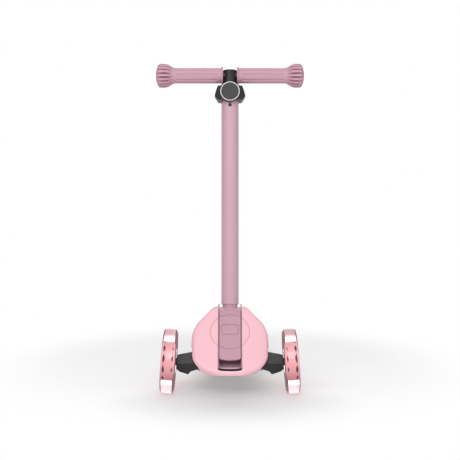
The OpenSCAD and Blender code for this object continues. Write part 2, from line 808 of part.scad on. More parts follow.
// Foot plate between the cheeks: treading its lower end frees the column's foot
module release_pedal() {
    color(mauve) difference() {
        union() {
            on_face() translate([0, 0, -pedal_t]) linear_extrude(pedal_t) polygon(concat(
                bowed_edge(pedal_w / 2, pedal_low), [[pedal_w / 2, pedal_high], [-pedal_w / 2, pedal_high]]));
            for (s = [-1, 1]) on_side(s) at_pedal_pin() {
                bar_x(pedal_pin_d + 5, 8, pedal_w / 2 - 2);
                translate([8, -5, 0]) cube([pedal_w / 2 - 10, 10, -pedal_pin_n - pedal_t + 1]);
            }
            intersection() {
                on_face() translate([-8, fold_v - 25, fold_n - 2]) cube([16, 10, -fold_n]);
                on_column() rotate([0, 90, 0]) difference() {
                    cylinder(r = 60, h = 40, center = true);
                    cylinder(d = knuckle_d + 2 * latch_gap, h = 60, center = true);
                }
            }
        }
        at_pedal_pin() bar_x(pedal_pin_d + 2 * run_gap, -40, 40);
        on_face() translate([-notch_half, pedal_notch, -hood_w / 2]) cube([2 * notch_half, hood_w, hood_w]);
        on_column() bar_x(knuckle_d + 2 * latch_gap, -pedal_w, pedal_w);
    }
}

// Knuckle, fluted neck and plug at the foot of the column
module column_foot() {
    color(mauve) on_column() difference() {
        union() {
            bar_x(knuckle_d, -neck_d / 2, neck_d / 2);
            cylinder(d = neck_d, h = tube_start);
            translate([0, 0, tube_start - eps]) cylinder(d = column_in - 2 * run_gap, h = plug_l);
        }
        bar_x(fold_pin_d + 2 * run_gap, -40, 40);
        for (k = [0 : 19]) rotate(k * 18) translate([neck_d / 2, 0, flute_low])
            cylinder(d = flute_d, h = tube_start - flute_low - 1.5);
        translate([0, 0, tube_start + 4]) cylinder(d = neck_d - 10.5, h = plug_l);
    }
}

module column_tube() {
    color(mauve) on_column() difference() {
        translate([0, 0, tube_start]) cylinder(d = column_d, h = column_l);
        translate([0, 0, tube_start - 1]) cylinder(d = column_in, h = column_l + 2);
        translate([0, 0, relief_z]) rotate([90, 0, 0]) cylinder(d = 3.5 * slit_w, h = column_d);
        translate([-slit_w / 2, -column_d, relief_z]) cube([slit_w, column_d, column_l]);
    }
}

// Nylon bush in the top of the column
module column_bush() {
    color("#3A3A3C") on_column() difference() {
        translate([0, 0, column_top - bush_l]) cylinder(d = column_in - 2 * run_gap, h = bush_l);
        translate([0, 0, column_top - bush_l - 1]) cylinder(d = stem_d + 2 * run_gap, h = bush_l + 2);
    }
}

// Moulded clamp round the top of the column
module clamp_collar() {
    rear = column_d / 2 + clamp_wall;
    color(black) on_column() difference() {
        union() {
            intersection() {
                translate([0, rear, 0]) rotate([90, 0, 0]) linear_extrude(rear + clamp_face)
                    polygon([[-clamp_w * 0.4, clamp_top], [clamp_w * 0.4, clamp_top],
                        [clamp_w * 0.45, clamp_top - 7], [clamp_w / 2, badge_z - 4],
                        [clamp_w / 2, badge_z - 6], [clamp_w * 0.39, clamp_low],
                        [-clamp_w * 0.39, clamp_low], [-clamp_w / 2, badge_z - 6],
                        [-clamp_w / 2, badge_z - 4], [-clamp_w * 0.45, clamp_top - 7]]);
                translate([0, 0, clamp_low]) linear_extrude(clamp_h)
                    polygon([[-clamp_w / 2, -rear + 9], [-rear + 4, -clamp_face], [rear - 4, -clamp_face],
                        [clamp_w / 2, -rear + 9], [clamp_w / 2, 6], [rear - 6, rear], [-rear + 6, rear],
                        [-clamp_w / 2, 6]]);
            }
            translate([0, 0, badge_z]) rotate([90, 0, 0]) cylinder(d = badge_d - 1, h = clamp_face);
            for (s = [-1, 1]) on_side(s) translate([lug_in, rear - 6, clamp_top - 18])
                cube([lug_out - lug_in, lever_pin_y - rear + 11, 15]);
        }
        translate([0, 0, clamp_low - 10])
            cylinder(d = column_d + 2 * run_gap, h = column_top - clamp_low + 10);
        cylinder(d = stem_d + 1, h = clamp_top + 40);
        translate([0, lever_pin_y, lever_pin_z]) bar_x(lever_pin_d + 2 * run_gap, -20, 20);
    }
}

// Round cap on the clamp's face
module badge_cap() {
    color(black) on_column() translate([0, -clamp_face, badge_z]) rotate([90, 0, 0]) difference() {
        cylinder(d = badge_d, h = 4);
        translate([0, 0, 2.6]) difference() {
            cylinder(d = badge_d - 2, h = 2);
            translate([0, 0, -1]) cylinder(d = badge_d - 5, h = 4);
        }
    }
}

// Pale trim ring set in the cap
module badge_ring() {
    color("#C4C4C6") on_column() translate([0, -clamp_face - 2.6, badge_z]) rotate([90, 0, 0]) difference() {
        cylinder(d = badge_d - 2 - 2 * run_gap, h = 1.5);
        translate([0, 0, -1]) cylinder(d = badge_d - 5 + 2 * run_gap, h = 4);
    }
}

module clamp_pin() {
    color(steel) on_column() translate([0, lever_pin_y, lever_pin_z])
        bar_x(lever_pin_d, -lug_out - 1, lug_out + 1);
}

// Lever behind the clamp; its eye is a cam that bears on the collar
module clamp_lever() {
    color(black) on_column() translate([0, lever_pin_y, lever_pin_z]) difference() {
        union() {
            bar_x(lever_pin_d + 6, -lug_in + face_gap, lug_in - face_gap);
            rotate([90, 0, 90]) linear_extrude(2 * (lug_in - face_gap), center = true)
                polygon([[-2.5, 0], [5.5, 0], [6, -lever_reach + 10], [9, -lever_reach],
                    [5, -lever_reach - 1], [1.5, -lever_reach + 9]]);
        }
        bar_x(lever_pin_d + 2 * run_gap, -20, 20);
    }
}

module stem_tube() {
    color(black) on_column() difference() {
        translate([0, 0, stem_low]) cylinder(d = stem_d, h = stem_top - stem_low);
        translate([0, 0, stem_low - 1]) cylinder(d = stem_d - 2 * stem_wall, h = stem_top - stem_low + 2);
        translate([0, 0, bar_z]) bar_x(crossbar_d + 2 * run_gap, -40, 40);
    }
}

// Plug in the top of the stem
module stem_cap() {
    seat = bar_z + crossbar_d / 2 + 0.2;
    color(black) on_column() difference() {
        translate([0, 0, bar_z + 4])
            cylinder(d = stem_d - 2 * stem_wall - 2 * run_gap, h = stem_top - bar_z - 4);
        translate([0, 0, bar_z]) bar_x(2 * (seat - bar_z), -40, 40);
    }
}

// Nylon glide on the bottom of the stem
module stem_glide() {
    color("#D9D9D2") on_column() difference() {
        translate([0, 0, stem_low - 5]) cylinder(d = column_in - 2 * run_gap, h = 30);
        translate([0, 0, stem_low]) cylinder(d = stem_d + 2 * run_gap, h = 40);
        translate([0, 0, stem_low - 10]) cylinder(d = stem_d - 8, h = 40);
    }
}

module crossbar() {
    color(black) on_column() translate([0, 0, bar_z]) difference() {
        bar_x(crossbar_d, -crossbar_half, crossbar_half);
        bar_x(crossbar_d - 2 * stem_wall, -crossbar_half - 1, crossbar_half + 1);
    }
}

// Radius of the knob at a share s of its length
function knob_r(s) = grip_d / 2 + (knob_d - grip_d) / 2 * pow(sin(min(s / 0.55, 1) * 90), 1.6)
    - knob_d / 3 * pow(max(s - 0.74, 0) / 0.26, 3);

// Rubber grip with a flange inside and a slotted knob at the end
module grip(side) {
    steps = 18;
    color(mauve) on_column() translate([0, 0, bar_z]) on_side(side) difference() {
        union() {
            bar_x(grip_d, grip_start, knob_start + 1);
            bar_x(flange_d, grip_start, grip_start + flange_t);
            turned_x() polygon(concat([[0, knob_start]],
                [for (k = [0 : steps]) [knob_r(k / steps), knob_start + knob_l * k / steps]],
                [[0, grip_end]]));
        }
        bar_x(crossbar_d + 2 * run_gap, 0, crossbar_half + 0.1);
        for (k = [0 : slot_count - 1]) rotate([90 + (k + 0.5) * 360 / slot_count, 0, 0])
            translate([knob_start + 5, -1.2, grip_d / 2 + 0.8]) cube([knob_l - 8, 2.4, knob_d / 4]);
        for (k = [0 : groove_count - 1]) rotate([90 - groove_turn + k * 360 / groove_count, 0, 0])
            translate([knob_start - groove_l - 2, 0, grip_d / 2 + 0.6]) bar_x(4.5, 0, groove_l);
    }
}

// Rear wheel pieces
module rear_tyre() {
    color(clear_pink) at_rear() turned_x() tyre_section(rear_d, rear_w, 6, rear_core_d);
}

module rear_core() {
    color(pink) at_rear() core(rear_core_d, core_w);
}

module rear_bearings() {
    color(steel) at_rear() bearing_pair();
}

module rear_bearing_spacer() {
    color(steel) at_rear() spacer_tube();
}

module rear_axle() {
    color(steel) at_rear() {
        bar_x(axle_d, -tail_out, tail_out + 8);
        bar_x(axle_d + 6, -tail_out - 4, -tail_out);
    }
}

module rear_axle_nut() {
    color(steel) at_rear() difference() {
        rotate([0, 90, 0]) translate([0, 0, tail_out]) cylinder(d = axle_d + 7, h = 7, $fn = 6);
        bar_x(axle_d + 2 * run_gap, 0, tail_out + 20);
    }
}

module rear_spacers() {
    color(steel) at_rear() for (side = [-1, 1]) on_side(side) difference() {
        bar_x(axle_d + 5, hub_w / 2, tail_in);
        bar_x(axle_d + 2 * run_gap, 0, 60);
    }
}

// Point in side view at radius r round the rear axle, a degrees forward of the top
function round_wheel(r, a) = [wheelbase - r * sin(a), rear_z + r * cos(a)];

// Sprung fender over the rear wheel, hinged at the end of the deck
module brake_fender() {
    color(pink) difference() {
        union() {
            intersection() {
                at_rear() turned_x() translate([fender_r, -fender_w / 2]) square([fender_wall, fender_w]);
                at_rear() rotate([90, 0, 90]) linear_extrude(fender_w + 2, center = true)
                    polygon([[0, 0], [-fender_far * sin(fender_front), fender_far * cos(fender_front)],
                        [-fender_far, 2 * fender_far], [fender_far, 2 * fender_far],
                        [fender_far * sin(fender_tail), fender_far * cos(fender_tail)]]);
            }
            on_scooter() rotate([90, 0, 90]) linear_extrude(fender_w, center = true)
                polygon([[brake_y - 1, brake_z - 3], [brake_y - 1, brake_z + 5],
                    round_wheel(fender_out - 0.5, fender_front - 14),
                    round_wheel(fender_r + 0.5, fender_front - 10),
                    round_wheel(fender_r + 0.4, fender_front)]);
            at_brake_pin() bar_x(hinge_pin_d + 6, -fender_w / 2, fender_w / 2);
        }
        at_brake_pin() bar_x(hinge_pin_d + 2 * run_gap, -60, 60);
        at_brake_pin() bar_x(14, -7, 7);
    }
}

module at_brake_pin() {
    on_scooter() translate([0, brake_y, brake_z]) children();
}

// Friction pad under the fender
module brake_pad() {
    color(black) intersection() {
        at_rear() turned_x() translate([fender_r - pad_t, -9]) square([pad_t, 18]);
        on_scooter() translate([-20, wheelbase - 16, rear_z]) cube([40, 24, 100]);
    }
}

module brake_pin() {
    color(steel) at_brake_pin() bar_x(hinge_pin_d, -fender_w / 2 - 4, fender_w / 2 + 4);
}

module brake_spring() {
    color(steel) at_brake_pin() difference() {
        union() {
            bar_x(hinge_pin_d + 2.5, -6.5, 6.5);
            for (k = [-2 : 2]) bar_x(hinge_pin_d + 4.4, k * 2.5 - 0.8, k * 2.5 + 0.8);
        }
        bar_x(hinge_pin_d + 0.5, -8, 8);
    }
}

module left_tyre() { front_tyre(-1); }
module right_tyre() { front_tyre(1); }
module left_core() { front_core(-1); }
module right_core() { front_core(1); }
module left_bearings() { front_bearings(-1); }
module right_bearings() { front_bearings(1); }
module left_bearing_spacer() { front_spacer(-1); }
module right_bearing_spacer() { front_spacer(1); }
module left_hub_cap() { hub_cap(-1); }
module right_hub_cap() { hub_cap(1); }
module left_axle_bolt() { axle_bolt(-1); }
module right_axle_bolt() { axle_bolt(1); }
module left_knuckle() { knuckle(-1); }
module right_knuckle() { knuckle(1); }
module left_bushes() { king_bushes(-1); }
module right_bushes() { king_bushes(1); }
module left_rod_pin() { rod_pin(-1); }
module right_rod_pin() { rod_pin(1); }
module left_centring_spring() { centring_spring(-1); }
module right_centring_spring() { centring_spring(1); }
module left_grip() { grip(-1); }
module right_grip() { grip(1); }

deck_shell();
deck_tray();
grip_mat();
front_hood();
hood_screws();
deck_screws();
fold_bracket();
bracket_bolts();
fold_pin();
release_pedal();
pedal_pin();
pedal_spring();
axle_carrier();
kingpins();
left_centring_spring();
right_centring_spring();
tie_rod();
left_knuckle();
right_knuckle();
left_bushes();
right_bushes();
left_rod_pin();
right_rod_pin();
left_axle_bolt();
right_axle_bolt();
left_tyre();
right_tyre();
left_core();
right_core();
left_bearings();
right_bearings();
left_bearing_spacer();
right_bearing_spacer();
left_hub_cap();
right_hub_cap();
rear_tyre();
rear_core();
rear_bearings();
rear_bearing_spacer();
rear_axle();
rear_axle_nut();
rear_spacers();
brake_fender();
brake_pad();
brake_pin();
brake_spring();
column_foot();
column_tube();
column_bush();
clamp_collar();
badge_cap();
badge_ring();
clamp_pin();
clamp_lever();
stem_tube();
stem_glide();
stem_cap();
crossbar();
left_grip();
right_grip();
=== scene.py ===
import json
import math

import bmesh
import bpy
from mathutils import Matrix, Vector


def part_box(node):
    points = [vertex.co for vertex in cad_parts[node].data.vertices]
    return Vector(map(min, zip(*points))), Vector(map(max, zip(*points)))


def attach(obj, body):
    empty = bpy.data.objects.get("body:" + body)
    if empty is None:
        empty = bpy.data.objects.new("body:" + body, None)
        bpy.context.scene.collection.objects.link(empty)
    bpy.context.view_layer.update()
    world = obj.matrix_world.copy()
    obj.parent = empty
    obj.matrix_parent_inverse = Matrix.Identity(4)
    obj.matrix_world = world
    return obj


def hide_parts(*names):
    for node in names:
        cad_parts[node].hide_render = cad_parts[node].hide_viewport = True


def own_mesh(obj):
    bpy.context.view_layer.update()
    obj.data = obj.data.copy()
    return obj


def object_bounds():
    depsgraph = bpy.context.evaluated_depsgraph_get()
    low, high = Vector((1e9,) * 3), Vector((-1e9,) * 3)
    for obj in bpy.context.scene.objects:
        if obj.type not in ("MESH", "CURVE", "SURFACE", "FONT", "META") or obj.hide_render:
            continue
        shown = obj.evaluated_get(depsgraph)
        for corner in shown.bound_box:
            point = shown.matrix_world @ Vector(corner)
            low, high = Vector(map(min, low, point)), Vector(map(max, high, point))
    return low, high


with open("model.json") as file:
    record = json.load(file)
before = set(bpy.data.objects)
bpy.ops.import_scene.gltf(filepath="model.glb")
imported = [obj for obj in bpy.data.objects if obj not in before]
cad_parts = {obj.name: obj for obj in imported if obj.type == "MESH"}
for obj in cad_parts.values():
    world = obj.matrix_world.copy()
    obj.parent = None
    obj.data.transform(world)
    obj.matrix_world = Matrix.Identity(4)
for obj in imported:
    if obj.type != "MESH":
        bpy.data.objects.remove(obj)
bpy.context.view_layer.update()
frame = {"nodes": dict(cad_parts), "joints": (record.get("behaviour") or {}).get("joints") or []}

# ---------------------------------------------------------------- front wheels
# Two wheels of clear, rose-tinted polyurethane, cast straight onto moulded cores.
# Each core turns on two ball bearings round a bolt, and a small domed cap snaps
# over the bolt's head. Sizes are in millimetres.
mm = 0.001
joint = {j["name"]: j for j in frame["joints"]}
wheel_r, wheel_half, wheel_shoulder, wheel_bond_r = 60.0, 13.0, 5.5, 23.95
core_half, rim_r = 8.5, 22.2
tread_bow, shoulder_lean = 110, 10
notch_count, notch_from, notch_to, notch_swing, notch_shift = 9, 5.2, 6.0, 0.9, 0.6
cap_in, cap_out, cap_rim, cap_bore, cap_dome = 9.0, 13.0, 13.4, 9.6, 2.0


def srgb(code):
    """Colour of a hex code, as the shader takes it."""
    parts = [int(code[k : k + 2], 16) / 255 for k in (1, 3, 5)]
    return tuple((c / 12.92 if c <= 0.04045 else ((c + 0.055) / 1.055) ** 2.4) for c in parts) + (1.0,)


def feed(tree, socket, value):
    """Sets a socket to a plain value, or links it to another node's output."""
    if isinstance(value, bpy.types.NodeSocket):
        tree.links.new(value, socket)
    else:
        socket.default_value = value


def calc(tree, operation, *values):
    """Result of a sum on numbers and on other nodes' outputs."""
    node = tree.nodes.new("ShaderNodeMath")
    node.operation = operation
    for socket, value in zip(node.inputs, values):
        feed(tree, socket, value)
    return node.outputs[0]


def vector_calc(tree, operation, *values):
    """Result of a sum on vectors: a number for a length or a dot product, otherwise a vector."""
    node = tree.nodes.new("ShaderNodeVectorMath")
    node.operation = operation
    for socket, value in zip(node.inputs, values):
        feed(tree, socket, value)
    return node.outputs["Value" if operation in ("LENGTH", "DOT_PRODUCT") else "Vector"]


def ramp(tree, value, low, high, start=0.0, end=1.0, smooth=False):
    """Goes from start to end while the value goes from low to high."""
    node = tree.nodes.new("ShaderNodeMapRange")
    node.interpolation_type = "SMOOTHSTEP" if smooth else "LINEAR"
    for label, number in (("From Min", low), ("From Max", high), ("To Min", start), ("To Max", end)):
        node.inputs[label].default_value = number
    tree.links.new(value, node.inputs["Value"])
    return node.outputs["Result"]


def mixed(tree, share, under, over, way="MIX"):
    """Colour between two others, or one multiplied by the other."""
    node = tree.nodes.new("ShaderNodeMix")
    node.data_type = "RGBA"
    node.blend_type = way
    for label, value in (("Factor", share), ("A", under), ("B", over)):
        feed(tree, node.inputs[label], value)
    return node.outputs["Result"]


def cloud(tree, place, scale, detail):
    """Soft noise at a place."""
    node = tree.nodes.new("ShaderNodeTexNoise")
    node.inputs["Detail"].default_value = detail
    feed(tree, node.inputs["Vector"], place)
    feed(tree, node.inputs["Scale"], scale)
    return node.outputs["Fac"]


def own_place(tree):
    """Place on the piece itself."""
    return tree.nodes.new("ShaderNodeTexCoord").outputs["Object"]


def group(name, ins, outs):
    """Empty shader node group with its sockets and its two ends."""
    tree = bpy.data.node_groups.new(name, "ShaderNodeTree")
    for label, kind, value in ins:
        tree.interface.new_socket(label, in_out="INPUT", socket_type=kind).default_value = value
    for label, kind in outs:
        tree.interface.new_socket(label, in_out="OUTPUT", socket_type=kind)
    return tree, tree.nodes.new("NodeGroupInput"), tree.nodes.new("NodeGroupOutput")


def mould_grain():
    """Skin of a moulded or painted surface: slow tone drift, small roughness drift and a grain height."""
    tree, come, go = group(
        "mould_grain",
        [
            ("Colour", "NodeSocketColor", (1, 1, 1, 1)),
            ("Drift", "NodeSocketFloat", 0.03),
            ("Grain Size", "NodeSocketFloat", 0.6),
            ("Roughness", "NodeSocketFloat", 0.4),
            ("Roughness Drift", "NodeSocketFloat", 0.05),
        ],
        [("Colour", "NodeSocketColor"), ("Roughness", "NodeSocketFloat"), ("Height", "NodeSocketFloat")],
    )
    place = own_place(tree)
    slow = cloud(tree, place, 14, 3)
    fine = cloud(tree, place, calc(tree, "DIVIDE", 1000, come.outputs["Grain Size"]), 2)
    lift = calc(tree, "MULTIPLY_ADD", calc(tree, "SUBTRACT", slow, 0.5), come.outputs["Drift"], 1)
    tone = tree.nodes.new("ShaderNodeVectorMath")
    tone.operation = "SCALE"
    tree.links.new(come.outputs["Colour"], tone.inputs[0])
    tree.links.new(lift, tone.inputs["Scale"])
    rough = calc(tree, "MULTIPLY_ADD", fine, come.outputs["Roughness Drift"], come.outputs["Roughness"])
    for label, value in (("Colour", tone.outputs[0]), ("Roughness", rough), ("Height", fine)):
        tree.links.new(value, go.inputs[label])
    return tree


GRAIN = mould_grain()


def skin(name, colour, rough, grain=0.6, depth=0.02, drift=0.04, rough_drift=0.06, metal=0.0):
    """Opaque moulded, painted or rubber finish; grain and depth are in millimetres."""
    m = bpy.data.materials.new(name)
    m.use_nodes = True
    n, l = m.node_tree.nodes, m.node_tree.links
    shade = n["Principled BSDF"]
    shade.inputs["Metallic"].default_value = metal
    body = n.new("ShaderNodeGroup")
    body.node_tree = GRAIN
    body.inputs["Colour"].default_value = srgb(colour)
    body.inputs["Drift"].default_value = drift
    body.inputs["Grain Size"].default_value = grain
    body.inputs["Roughness"].default_value = rough
    body.inputs["Roughness Drift"].default_value = rough_drift
    bump = n.new("ShaderNodeBump")
    bump.inputs["Strength"].default_value = 1
    bump.inputs["Distance"].default_value = depth * mm
    l.new(body.outputs["Height"], bump.inputs["Height"])
    l.new(body.outputs["Colour"], shade.inputs["Base Color"])
    l.new(body.outputs["Roughness"], shade.inputs["Roughness"])
    l.new(bump.outputs["Normal"], shade.inputs["Normal"])
    return m


def blended(tree, share, under, over, end):
    """Ends a node tree in a mix of two shaders."""
    node = tree.nodes.new("ShaderNodeMixShader")
    for socket, value in zip(node.inputs, (share, under, over)):
        tree.links.new(value, socket)
    tree.links.new(node.outputs[0], tree.nodes[end].inputs["Surface"])


def let_light_in(m, tint):
    """Lets lamp light straight through a clear skin, so that what it covers is lit as if bare."""
    tree = m.node_tree
    path = tree.nodes.new("ShaderNodeLightPath").outputs
    open_way = tree.nodes.new("ShaderNodeBsdfTransparent")
    open_way.inputs["Color"].default_value = tint
    lamp_light = calc(tree, "MAXIMUM", path["Is Shadow Ray"], path["Is Diffuse Ray"])
    solid = tree.nodes["Principled BSDF"].outputs[0]
    blended(tree, lamp_light, solid, open_way.outputs[0], "Material Output")


def cast_urethane(name, absorbed, density):
    """Clear cast tyre: glass-like body with a rose tint that deepens through its thickness."""
    m = bpy.data.materials.new(name)
    m.use_nodes = True
    tree = m.node_tree
    shade = tree.nodes["Principled BSDF"]
    shade.inputs["Transmission Weight"].default_value = 1
    shade.inputs["IOR"].default_value = 1.5
    haze = cloud(tree, own_place(tree), 60, 2)
    tree.links.new(mixed(tree, haze, (1, 1, 1, 1), (1, 0.97, 0.975, 1)), shade.inputs["Base Color"])
    tree.links.new(calc(tree, "MULTIPLY", haze, 0.04), shade.inputs["Roughness"])
    let_light_in(m, (1.0, 0.98, 0.98, 1))
    soak = tree.nodes.new("ShaderNodeVolumeAbsorption")
    soak.inputs["Color"].default_value = absorbed
    soak.inputs["Density"].default_value = density
    tree.links.new(soak.outputs[0], tree.nodes["Material Output"].inputs["Volume"])
    return m


def paint(material, *nodes):
    """Gives the frame's own pieces their finish."""
    for node in nodes:
        frame["nodes"][node].data.materials[0] = material


def piece(name, bm, material, body, nodes, bevel=0.0, angle=35):
    """Turns mesh code into a named piece that rides on a body and stands for its CAD nodes."""
    bmesh.ops.recalc_face_normals(bm, faces=bm.faces)
    me = bpy.data.meshes.new(name)
    bm.to_mesh(me)
    bm.free()
    ob = bpy.data.objects.new(name, me)
    bpy.context.scene.collection.objects.link(ob)
    me.materials.append(material)
    if bevel:
        mod = ob.modifiers.new("edge", "BEVEL")
        mod.width = bevel * mm
        mod.segments = 2
        mod.limit_method = "ANGLE"
        mod.angle_limit = math.radians(angle)
        mod.harden_normals = True
    me.shade_smooth()
    me.set_sharp_from_angle(angle=math.radians(angle))
    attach(ob, body)
    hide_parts(*nodes)
    return ob


def turned(profile, steps=96, closed=True):
    """Profile of (x, radius) in millimetres, turned round the X axis."""
    bm = bmesh.new()
    rings = []
    for k in range(steps):
        a = 2 * math.pi * k / steps
        across, up = math.cos(a) * mm, math.sin(a) * mm
        rings.append([bm.verts.new((x * mm, r * across, r * up)) for x, r in profile])
    count = len(profile) if closed else len(profile) - 1
    for k in range(steps):
        here, there = rings[k], rings[(k + 1) % steps]
        for i in range(count):
            j = (i + 1) % len(profile)
            bm.faces.new((here[i], here[j], there[j], there[i]))
    bmesh.ops.remove_doubles(bm, verts=bm.verts, dist=1e-6)
    return bm


def arc(cx, cr, r, start, end, steps=8):
    """Points of an arc in a turned profile, angles in degrees from the radial way."""
    out = []
    for k in range(steps + 1):
        a = math.radians(start + (end - start) * k / steps)
        out.append((cx + r * math.sin(a), cr + r * math.cos(a)))
    return out


def at_axle(name):
    """Place of a wheel: its joint, with local X along the joint's axis."""
    x = Vector(joint[name]["axis"]).normalized()
    y = Vector((0, 1, 0))
    z = x.cross(y).normalized()
    turn = Matrix((x, y, z)).transposed().to_4x4()
    return Matrix.Translation(joint[name]["pos_m"]) @ turn


def cast_profile(radius, half, shoulder, bond_r):
    """Section of a tyre; its bore dips into the rim of the core that it is cast on."""
    dip, seat = bond_r - 1.2, bond_r + 0.15
    bond = [(core_half - 0.2, dip), (core_half - 0.2, seat), (half - 1, seat)]
    lean = math.radians(shoulder_lean)
    edge = half - shoulder * (1 - math.sin(lean))
    hub_r = radius - edge**2 / tread_bow - shoulder * math.cos(lean)
    side = [(half, bond_r + 1.2), (half, hub_r - shoulder)]
    tread = [(edge * k / 5, radius - (edge * k / 5) ** 2 / tread_bow) for k in (4, 3, 2, 1, 0)]
    loop = bond + side + arc(half - shoulder, hub_r, shoulder, 90, shoulder_lean) + tread
    return loop + [(-x, r) for x, r in reversed(loop[:-1])]


urethane = cast_urethane("clear_rose_urethane", (1.0, 0.56, 0.64, 1), 7.5)
# the flat sides are satin mauve in the darker tone of their shaded look: part real finish, part painted shade
sidewall_and_shade = skin("satin_mauve_sidewall", "#9B8085", 0.5, grain=0.4, depth=0.01, drift=0.06)
let_light_in(sidewall_and_shade, (0.92, 0.86, 0.88, 1))
# painted shade: a dark sheet on the bore where it meets the core, darkening the flanks beside the core band
bond_shade = skin("shaded_bond", "#5A4C4F", 0.6, grain=0.5, depth=0.01)
core_plastic = skin("rose_core_plastic", "#F8BCC8", 0.35, grain=0.5, depth=0.01)
race_steel = skin("bearing_steel", "#C9CACC", 0.22, grain=0.3, depth=0.004, metal=1.0)
bolt_steel = skin("zinc_plated_steel", "#B9BBBE", 0.34, grain=0.4, depth=0.01, metal=1.0)


def cast_tyre(name, radius, half, shoulder, bond_r, steps):
    """Clear tyre of one wheel, with satin flat sides in a shaded mauve and painted shade on the bore beside
    the core.
    """
    tyre = turned(cast_profile(radius, half, shoulder, bond_r), steps)
    for face in tyre.faces:
        if all(abs(v.co.x) > (half - 0.2) * mm for v in face.verts):
            face.material_index = 1
        elif all(math.hypot(v.co.y, v.co.z) < (bond_r + 0.4) * mm for v in face.verts):
            face.material_index = 2
    bmesh.ops.transform(tyre, matrix=at_axle(name + "_wheel_spin"), verts=tyre.verts)
    body, nodes = name + "_wheel", [name + "_tyre"]
    ob = piece(name + "_clear_tyre", tyre, urethane, body, nodes, angle=60)
    ob.data.materials.append(sidewall_and_shade)
    ob.data.materials.append(bond_shade)


def notched_core(name):
    """Core plastic of one wheel, near-white past rim_r, with painted shade in a wavy dark band along the
    rim's edges, where the notches that lock the tyre on would lie in shade.
    """
    m = skin(name + "_core_plastic", "#FACAD4", 0.35, grain=0.5, depth=0.01)
    tree = m.node_tree
    place = own_place(tree)
    along, ahead, up = [
        calc(tree, "ADD", vector_calc(tree, "DOT_PRODUCT", place, row[:3]), row[3])
        for row in at_axle(name).inverted()[:3]
    ]
    swell = calc(tree, "SINE", calc(tree, "MULTIPLY", calc(tree, "ARCTAN2", ahead, up), notch_count))
    hub_x, way = joint[name]["pos_m"][0], joint[name]["axis"][0]
    aside = -math.copysign(notch_shift, hub_x * way) * mm if abs(hub_x) > mm else 0
    off = calc(tree, "ABSOLUTE", calc(tree, "ADD", along, aside))
    reach = calc(tree, "MULTIPLY_ADD", swell, notch_swing * mm, off)
    # painted shade: a wavy mask that darkens the rim's edges
    notch = ramp(tree, reach, notch_from * mm, notch_to * mm, smooth=True)
    across = tree.nodes.new("ShaderNodeCombineXYZ")
    tree.links.new(ahead, across.inputs["X"])
    tree.links.new(up, across.inputs["Y"])
    outer = calc(tree, "GREATER_THAN", vector_calc(tree, "LENGTH", across.outputs[0]), rim_r * mm)
    rim = mixed(tree, outer, tree.nodes["Group"].outputs["Colour"], srgb("#FFF2F6"))
    dark = mixed(tree, calc(tree, "MULTIPLY", notch, outer), rim, srgb("#4C4244"))
    tree.links.new(dark, tree.nodes["Principled BSDF"].inputs["Base Color"])
    return m


cap_profile = [(cap_in, cap_bore), (cap_in, cap_rim), (cap_out - cap_dome - 0.2, cap_rim)]
for k in range(6, -1, -1):
    drop = cap_dome * (1 - math.sqrt(1 - (k / 6) ** 2))
    cap_profile.append((cap_out - drop, (cap_rim - 0.2) * k / 6))
cap_profile += [(cap_out - 0.8, 0), (cap_out - 0.8, cap_bore)]
for side, way in (("left", -1), ("right", 1)):
    cast_tyre(side, wheel_r, wheel_half, wheel_shoulder, wheel_bond_r, 160)
    cap = turned([(way * x, r) for x, r in cap_profile], 64)
    bmesh.ops.transform(cap, matrix=at_axle(side + "_wheel_spin"), verts=cap.verts)
    piece(side + "_domed_cap", cap, core_plastic, side + "_wheel", [side + "_hub_cap"])
    paint(notched_core(side + "_wheel_spin"), side + "_core")
    paint(race_steel, side + "_bearings")
    paint(bolt_steel, side + "_bearing_spacer", side + "_axle_bolt")

# ------------------------------------------------------------------ rear wheel
# Smaller wheel of the same clear urethane, on its own core and two bearings. It
# turns on one long bolt between the arms of the deck's tail, with a steel spacer
# on each side.
rear_r, rear_half, rear_shoulder, rear_bond_r = 40.0, 12.0, 6.0, 22.95
cast_tyre("rear", rear_r, rear_half, rear_shoulder, rear_bond_r, 128)
paint(notched_core("rear_wheel_spin"), "rear_core")
paint(race_steel, "rear_bearings")
paint(bolt_steel, "rear_bearing_spacer", "rear_axle", "rear_axle_nut", "rear_spacers")

# --------------------------------------------------------------- steering gear
# Black glass-filled arms carry the front wheels. Each turns on a leaning kingpin
# in the carrier, on flanged nylon bushes, and a flat rod keeps the two in step.
# Ribbed rubber springs between the rod's lug and the bracket bring them back.
boot_r, boot_rib, boot_end_r, boot_ribs, rib_points = 3.25, 0.75, 2.6, 5, 8


def soften(node, width, angle=32):
    """Takes the sharp edge off a machined or moulded piece."""
    ob = frame["nodes"][node]
    weld = ob.modifiers.new("weld", "WELD")
    weld.merge_threshold = 1e-6
    edge = ob.modifiers.new("edge", "BEVEL")
    edge.width = width * mm
    edge.segments = 2
    edge.limit_method = "ANGLE"
    edge.angle_limit = math.radians(angle)
    edge.harden_normals = True


